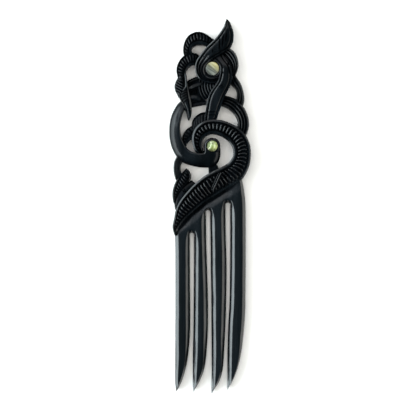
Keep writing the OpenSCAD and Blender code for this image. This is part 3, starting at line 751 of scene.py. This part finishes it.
# opening between the bars of the low ground
hollow = {
    "outline": [(-9.0, 53.9), (-6.3, 53.9), (-6.2, 56.6), (-7.2, 56.2), (-9.1, 55.2)],
    "low": 0.9, "high": 6.5, "flare": 0.3,
}
pits = [(-12.9, 7.3, 0.5), (-11.8, 7.0, 0.4), (-12.4, 8.2, 0.3)]  # x, y and radius, in the wedge


def carveDetails(comb):
    left, right = divider["beds"]
    path = makePath([[r[0] + left, r[1], r[2] - right, r[3], 1.0] for r in divider["rows"]])
    low, high = headHeight - divider["bedDepth"], headHeight + divider["bedDepth"]
    rings = []
    for i in range(13):
        x0, y0, x1, y1, _ = rowAt(path, path["length"] * i / 12)
        across = [(0.0, high), (0.1, low), (0.9, low), (1.0, high)]
        rings.append([(x0 + (x1 - x0) * v, y0 + (y1 - y0) * v, z) for v, z in across])
    join(comb, meshFromRings("dividerBed", rings), "DIFFERENCE")
    join(comb, buildBand(divider))
    for notch in notches:
        join(comb, veeCutter(*notch), "DIFFERENCE")
    join(comb, flaredBlock(hollow["outline"], hollow["low"], hollow["high"], hollow["flare"]), "DIFFERENCE")
    for x, y, r in pits:
        pit = turned("pit", (x, y), [(0, 4.6), (r * 0.4, 4.7), (r, 5.6), (r + 0.2, 6.6), (0, 6.6)], 16)
        join(comb, pit, "DIFFERENCE")


chamfer = 0.3  # along every edge of the back
atBack = 1e-4  # a height under this is the back's


def closeShortEdges(bm, least=0.001):
    # pull together the ends of edges that are too short to see, where the skin stays closed
    for e in [e for e in bm.edges if e.calc_length() < least]:
        if e.is_valid and len(e.link_faces) == 2:
            near = [{w for x in v.link_edges for w in x.verts} for v in e.verts]
            if len(near[0] & near[1]) == 4:
                bmesh.ops.pointmerge(bm, verts=list(e.verts), merge_co=e.verts[0].co)


def facesOfBack(bm):
    return {f for f in bm.faces if all(abs(v.co.z) < atBack for v in f.verts)}


def flattenBack(comb):
    slab = flaredBlock([(-30, -100), (30, -100), (30, 100), (-30, 100)], underBack - 1, 0.0, 0.0)
    join(comb, slab, "DIFFERENCE")
    bm = bmesh.new()
    bm.from_mesh(comb.data)
    bmesh.ops.triangulate(bm, faces=bm.faces)
    closeShortEdges(bm)
    bottom = facesOfBack(bm)
    inner = [e for e in bm.edges if all(f in bottom for f in e.link_faces)]
    bmesh.ops.beautify_fill(bm, faces=list(bottom), edges=inner)
    bottom = facesOfBack(bm)
    outward = {}
    for f in bottom:
        for e in f.edges:
            for side in e.link_faces:
                if side not in bottom:
                    n = Vector((side.normal.x, side.normal.y, 0)).normalized()
                    for v in e.verts:
                        outward[v] = outward.get(v, Vector((0, 0, 0))) + n
    everything = bm.verts[:] + bm.edges[:] + bm.faces[:]
    bmesh.ops.bisect_plane(bm, geom=everything, dist=1e-4, plane_co=(0, 0, chamfer), plane_no=(0, 0, 1))
    home = {v: v.co.copy() for v in outward}
    reach = {v: chamfer if n.length > 0.3 else 0.0 for v, n in outward.items()}
    for attempt in range(6):
        for v, n in outward.items():
            if reach[v]:
                v.co = home[v] - n.normalized() * reach[v]
        # a triangle that turns over holds its corners back, in the end altogether
        bad = 0
        for f in bottom:
            a, b, c = (v.co for v in f.verts)
            if (b - a).cross(c - a).z > 1e-4:
                bad += 1
                for v in f.verts:
                    if v in reach:
                        reach[v] *= 0.4 if attempt < 4 else 0.0
        if not bad:
            break
    for v, n in outward.items():
        v.co = home[v] - n.normalized() * reach[v] if reach[v] else home[v]
    bmesh.ops.triangulate(bm, faces=bm.faces)
    closeShortEdges(bm)
    openEdges = sum(len(e.link_faces) != 2 for e in bm.edges)
    print("flat back:", len(bottom), "triangles,", openEdges, "open edges,", bad, "held back")
    bm.to_mesh(comb.data)
    bm.free()


upperInlay = {"centre": (1.0, 66.0), "radius": 3.2, "floor": 4.9, "edge": 1.3, "dome": 0.3}
lowerInlay = {"centre": (0.95, 28.9), "radius": 2.65, "floor": 4.7, "edge": 1.3, "dome": 0.3}
glueGap = 0.05


def buildComb():
    comb = buildPlate()
    comb.name = "carvedComb"
    join(comb, buildDish(), "DIFFERENCE")
    for rows in plate["slots"]:
        join(comb, buildSlot(rows), "DIFFERENCE")
    print("plate and tines shaped:", len(comb.data.polygons), "faces")
    join(comb, buildRingSeat())
    for shape in headBands:
        join(comb, buildBand(shape))
    for middle in bars["middles"]:
        join(comb, buildBand({**bars, "rows": barRows(middle)}))
    join(comb, buildKnob())
    join(comb, buildRingRim())
    print("head carved:", len(comb.data.polygons), "faces")
    carveDetails(comb)
    for spec in (upperInlay, lowerInlay):
        low, high, r = spec["floor"] - glueGap, headHeight + 2, spec["radius"] + glueGap
        join(comb, turned("seat", spec["centre"], [(0, low), (r, low), (r, high), (0, high)]), "DIFFERENCE")
    flattenBack(comb)
    print("back and seats cut:", len(comb.data.polygons), "faces")
    return comb


def buildInlay(name, spec):
    r, low = spec["radius"], spec["floor"]
    rim = low + spec["edge"]
    outline = [(0, low), (r - 0.1, low), (r, low + 0.1), (r, rim - 0.12), (r - 0.06, rim - 0.03)]
    for t in (1.0, 0.85, 0.7, 0.55, 0.4, 0.25, 0.12, 0.0):
        outline.append(((r - 0.2) * t, rim + 0.05 + (spec["dome"] - 0.05) * (1 - t * t)))
    return turned(name, spec["centre"], outline, 72)


def newMaterial(name):
    mat = bpy.data.materials.new(name)
    mat.use_nodes = True
    nodes, links = mat.node_tree.nodes, mat.node_tree.links
    return mat, nodes, links, nodes["Principled BSDF"]


def stretchedNoise(nodes, links, coords, scale, detail):
    mapping = nodes.new("ShaderNodeMapping")
    mapping.inputs["Scale"].default_value = scale
    noise = nodes.new("ShaderNodeTexNoise")
    noise.inputs["Scale"].default_value = 1.0
    noise.inputs["Detail"].default_value = detail
    links.new(coords, mapping.inputs["Vector"])
    links.new(mapping.outputs["Vector"], noise.inputs["Vector"])
    return noise.outputs["Fac"]


def ramp(nodes, links, source, stops):
    node = nodes.new("ShaderNodeValToRGB")
    while len(node.color_ramp.elements) < len(stops):
        node.color_ramp.elements.new(0.5)
    for element, (spot, color) in zip(node.color_ramp.elements, stops):
        element.position = spot
        element.color = (*color, 1)
    links.new(source, node.inputs["Fac"])
    return node.outputs["Color"]


def mapRange(nodes, links, source, span, shares):
    node = nodes.new("ShaderNodeMapRange")
    node.inputs["From Min"].default_value, node.inputs["From Max"].default_value = span
    node.inputs["To Min"].default_value, node.inputs["To Max"].default_value = shares
    links.new(source, node.inputs["Value"])
    return node.outputs["Result"]


def maths(nodes, links, how, *values):
    # each value is a plain number or another node's output
    node = nodes.new("ShaderNodeMath")
    node.operation = how
    for socket, value in zip(node.inputs, values):
        if isinstance(value, float):
            socket.default_value = value
        else:
            links.new(value, socket)
    return node.outputs["Value"]


def mixColor(nodes, links, share, source, color):
    node = nodes.new("ShaderNodeMix")
    node.data_type = "RGBA"
    node.inputs["B"].default_value = (*color, 1)
    links.new(share, node.inputs["Factor"])
    links.new(source, node.inputs["A"])
    return node.outputs["Result"]


def bumps(nodes, links, height, strength, distance):
    node = nodes.new("ShaderNodeBump")
    node.inputs["Strength"].default_value = strength
    node.inputs["Distance"].default_value = distance
    links.new(height, node.inputs["Height"])
    return node


blackWood = {
    "tones": [(0.4, (0.0003, 0.0005, 0.0007)), (0.66, (0.003, 0.0045, 0.0062))],
    # noises: scale across, along and through the wood, and detail
    "grain": ((900.0, 22.0, 300.0), 5.0), "patches": ((190.0, 26.0, 190.0), 3.0),
    "clouds": ((160.0, 60.0, 160.0), 2.0),
    "patchShare": 0.7, "rough": (0.17, 0.29), "gloss": (0.08, 0.72),
    # strength and depth in metres of the grain's bump and of the polishing's waves
    "grainBump": (0.2, 0.0001), "waves": (0.5, 0.001),
    # heights in metres: the head's gloss grows from its recesses up to its tops, as painted shade in the
    # recesses, the underside is plain
    "recess": (0.0052, 0.0068), "underside": (0.0004, 0.0008), "headShare": 0.47,
    # the slanting line where the head ends: its angle and the width of the change
    "headLie": -40.1, "headEdge": (0.002, 0.004),
}


def makeBlackWood():
    mat, nodes, links, shader = newMaterial("blackCarvedWood")
    coords = nodes.new("ShaderNodeTexCoord").outputs["Object"]
    grain = stretchedNoise(nodes, links, coords, *blackWood["grain"])
    clouds = stretchedNoise(nodes, links, coords, *blackWood["clouds"])
    patches = stretchedNoise(nodes, links, coords, *blackWood["patches"])
    blend = nodes.new("ShaderNodeMix")
    blend.inputs["Factor"].default_value = blackWood["patchShare"]
    links.new(grain, blend.inputs["A"])
    links.new(patches, blend.inputs["B"])
    color = ramp(nodes, links, blend.outputs["Result"], blackWood["tones"])
    links.new(color, shader.inputs["Base Color"])
    halfGrain = maths(nodes, links, "MULTIPLY", grain, 0.5)
    uneven = maths(nodes, links, "MULTIPLY_ADD", clouds, 0.5, halfGrain)
    rough = mapRange(nodes, links, uneven, (0.0, 1.0), blackWood["rough"])
    links.new(rough, shader.inputs["Roughness"])
    fine = bumps(nodes, links, grain, *blackWood["grainBump"])
    waves = bumps(nodes, links, clouds, *blackWood["waves"])
    links.new(waves.outputs["Normal"], fine.inputs["Normal"])
    links.new(fine.outputs["Normal"], shader.inputs["Normal"])
    # the head gets less gloss than the plate and its recesses least, which paints shade into the recesses
    turn = nodes.new("ShaderNodeMapping")
    turn.inputs["Rotation"].default_value = (0, 0, math.radians(blackWood["headLie"]))
    links.new(coords, turn.inputs["Vector"])
    glossAndPaintedShade = None
    for source, axis, span, shares in (
        (coords, "Z", blackWood["recess"], (0.0, blackWood["headShare"])),
        (turn.outputs["Vector"], "Y", blackWood["headEdge"], (1.0, 0.0)),
        (coords, "Z", blackWood["underside"], (1.0, 0.0)),
    ):
        split = nodes.new("ShaderNodeSeparateXYZ")
        links.new(source, split.inputs["Vector"])
        share = mapRange(nodes, links, split.outputs[axis], span, shares)
        glossAndPaintedShade = maths(nodes, links, "MAXIMUM", glossAndPaintedShade, share) if glossAndPaintedShade else share
    gloss = mapRange(nodes, links, glossAndPaintedShade, (0.0, 1.0), blackWood["gloss"])
    links.new(gloss, shader.inputs["Specular IOR Level"])
    return mat


shellSwirl = {"Scale": 1.0, "Detail": 2.5, "Distortion": 0.8}
shellPolish = {"Roughness": 0.16, "Coat Weight": 0.6, "Coat Roughness": 0.05}
speckShare = 0.75


def makeShell(name, spec, look):
    mat, nodes, links, shader = newMaterial(name)
    coords = nodes.new("ShaderNodeTexCoord").outputs["Object"]
    cx, cy = spec["centre"]
    # streaks run along the turned X axis, a painted sheen makes one side of the disc lighter
    layers = nodes.new("ShaderNodeMapping")
    layers.vector_type = "TEXTURE"
    layers.inputs["Location"].default_value = (cx * mm, cy * mm, 0)
    layers.inputs["Rotation"].default_value = (0, 0, math.radians(look["lie"]))
    links.new(coords, layers.inputs["Vector"])
    stretch = nodes.new("ShaderNodeMapping")
    stretch.inputs["Location"].default_value = (0, 0, look["seed"])
    stretch.inputs["Scale"].default_value = (look["long"], look["across"], 200.0)
    links.new(layers.outputs["Vector"], stretch.inputs["Vector"])
    swirl = nodes.new("ShaderNodeTexNoise")
    for socket, value in shellSwirl.items():
        swirl.inputs[socket].default_value = value
    links.new(stretch.outputs["Vector"], swirl.inputs["Vector"])
    color = ramp(nodes, links, swirl.outputs["Fac"], look["tones"])
    split = nodes.new("ShaderNodeSeparateXYZ")
    links.new(layers.outputs["Vector"], split.inputs["Vector"])
    # painted sheen: the colour is mixed towards the sheen tone across the disc
    paintedSheenSpan = (-0.0008, spec["radius"] * mm)  # from just before the middle to the rim
    side = mapRange(nodes, links, split.outputs["Y"], paintedSheenSpan, (0.0, look["paintedSheenShare"]))
    color = mixColor(nodes, links, side, color, look["paintedSheen"])
    level = (spec["floor"] + 1.5) * mm  # about the top of the disc
    for x, y, size in look["specks"]:
        far = nodes.new("ShaderNodeVectorMath")
        far.operation = "DISTANCE"
        far.inputs[1].default_value = ((cx + x) * mm, (cy + y) * mm, level)
        links.new(coords, far.inputs[0])
        softEdge = (size * 0.2 * mm, size * 1.5 * mm)
        speck = mapRange(nodes, links, far.outputs["Value"], softEdge, (speckShare, 0.0))
        color = mixColor(nodes, links, speck, color, look["speckTone"])
    links.new(color, shader.inputs["Base Color"])
    for socket, value in shellPolish.items():
        shader.inputs[socket].default_value = value
    return mat


# specks are x and y from the middle of the disc, and radius
# each shell's sheen tone and share are a painted sheen on one side of the disc
greyShell = {
    "lie": -38.0, "long": 90.0, "across": 650.0, "seed": 1.7, "paintedSheen": (0.46, 0.4, 0.09), "paintedSheenShare": 0.6,
    "specks": [
        (-1.8, 1.4, 0.6), (-1.1, 0.85, 0.65), (-0.4, 0.3, 0.6), (0.4, -0.3, 0.6), (1.2, -1.0, 0.6),
        (2.0, -1.6, 0.6), (-2.3, -1.9, 0.8),
    ],
    "speckTone": (0.05, 0.05, 0.04),
    "tones": [
        (0.36, (0.05, 0.055, 0.05)), (0.46, (0.12, 0.13, 0.11)), (0.55, (0.2, 0.21, 0.18)),
        (0.68, (0.4, 0.39, 0.36)),
    ],
}
greenShell = {
    "lie": -115.0, "long": 300.0, "across": 520.0, "seed": 4.2, "paintedSheen": (0.42, 0.42, 0.06), "paintedSheenShare": 0.5,
    "specks": [(0.3, 1.2, 0.55), (1.2, -1.8, 0.6), (-0.9, -2.6, 0.95), (0.0, -2.2, 0.85), (-1.3, -0.2, 0.3)],
    "speckTone": (0.04, 0.03, 0.012),
    "tones": [
        (0.34, (0.1, 0.1, 0.03)), (0.43, (0.2, 0.28, 0.12)), (0.52, (0.34, 0.43, 0.21)),
        (0.66, (0.74, 0.78, 0.58)),
    ],
}


sharpAngle = math.radians(38)


def finishPiece(piece, node, material):
    piece.data.transform(((mm, 0, 0, 0), (0, mm, 0, 0), (0, 0, mm, 0), (0, 0, 0, 1)))
    piece.data.materials.clear()
    piece.data.materials.append(material)
    for polygon in piece.data.polygons:
        polygon.use_smooth = True
    piece.data.set_sharp_from_angle(angle=sharpAngle)
    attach(piece, "root")
    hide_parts(node)


comb = buildComb()
finishPiece(comb, "comb", makeBlackWood())
upper = buildInlay("upperShell", upperInlay)
finishPiece(upper, "upper_inlay", makeShell("greyGreenShell", upperInlay, greyShell))
lower = buildInlay("lowerShell", lowerInlay)
finishPiece(lower, "lower_inlay", makeShell("paleGreenShell", lowerInlay, greenShell))
print("inlays set")


studio = {
    "floorSize": 1.6, "floorTones": [(0.2, (0.91, 0.9, 0.885)), (0.8, (0.95, 0.94, 0.925))],
    "floorMottle": ((40.0, 40.0, 40.0), 3.0), "floorRough": 0.8,
    "worldTone": (0.45, 0.8, 1.0), "worldPower": 0.12,
    "cameraHeight": 1.0, "viewWide": 0.1997, "aim": (-0.0011, -0.00084),
    # name, place, size, power, tint and whether it shows in the polish
    "panels": [
        ("leftPanel", (-0.5, 0.08, 0.23), (1.1, 0.46), 6.0, (0.85, 0.96, 1.0), True),
        ("rightPanel", (0.55, 0.0, 0.2), (0.9, 0.39), 1.8, (1.0, 0.99, 0.93), True),
        ("softPanel", (-0.33, 0.2, 0.58), (0.6, 0.36), 0.3, (0.8, 0.88, 1.0), True),
        ("farPanel", (0.0, 0.5, 0.3), (0.7, 0.62), 1.1, (1.0, 1.0, 1.0), True),
        ("highPanel", (-0.5, 0.0, 1.3), (0.7, 1.3), 0.06, (0.7, 0.85, 1.0), True),
        # these light the floor in the slots and openings
        ("overheadPanel", (0.0, 0.0, 1.2), (1.2, 1.2), 1.1, (1.0, 0.95, 0.88), False),
        ("openingPanel", (-0.6, 0.0, 1.0), (0.5, 1.2), 2.3, (1.0, 0.97, 0.92), False),
        ("openingPanel", (0.6, 0.0, 1.0), (0.5, 1.2), 2.3, (1.0, 0.97, 0.92), False),
    ],
}


def addPanel(name, place, size, radiance, tint, mirrored):
    # every panel faces the middle of the comb
    data = bpy.data.lights.new(name, "AREA")
    data.shape = "RECTANGLE"
    data.size, data.size_y = size
    data.energy = radiance * math.pi * size[0] * size[1]
    data.color = tint
    lamp = bpy.data.objects.new(name, data)
    lamp.location = place
    lamp.rotation_euler = (Vector((0, 0, 0)) - Vector(place)).to_track_quat("-Z", "Y").to_euler()
    lamp.visible_glossy = mirrored
    bpy.context.scene.collection.objects.link(lamp)


def buildFloor():
    half = studio["floorSize"] / 2
    corners = [(-half, -half, 0), (half, -half, 0), (half, half, 0), (-half, half, 0)]
    floor = meshObject("paleFloor", corners, [(0, 1, 2, 3)])
    mat, nodes, links, shader = newMaterial("paleFloorPaint")
    coords = nodes.new("ShaderNodeTexCoord").outputs["Object"]
    mottle = stretchedNoise(nodes, links, coords, *studio["floorMottle"])
    links.new(ramp(nodes, links, mottle, studio["floorTones"]), shader.inputs["Base Color"])
    shader.inputs["Roughness"].default_value = studio["floorRough"]
    floor.data.materials.append(mat)


buildFloor()
for panel in studio["panels"]:
    addPanel(*panel)
world = bpy.data.worlds.new("softRoom")
world.use_nodes = True
background = world.node_tree.nodes["Background"]
background.inputs["Color"].default_value = (*studio["worldTone"], 1)
background.inputs["Strength"].default_value = studio["worldPower"]
bpy.context.scene.world = world
bpy.context.scene.view_settings.view_transform = "Standard"

cameraData = bpy.data.cameras.new("topCamera")
cameraData.sensor_width = 36
cameraData.lens = cameraData.sensor_width * studio["cameraHeight"] / studio["viewWide"]
cameraData.clip_end = 10
camera = bpy.data.objects.new("topCamera", cameraData)
camera.location = (*studio["aim"], studio["cameraHeight"] + plateHeight * mm)
bpy.context.scene.collection.objects.link(camera)
bpy.context.scene.camera = camera
print("studio ready")
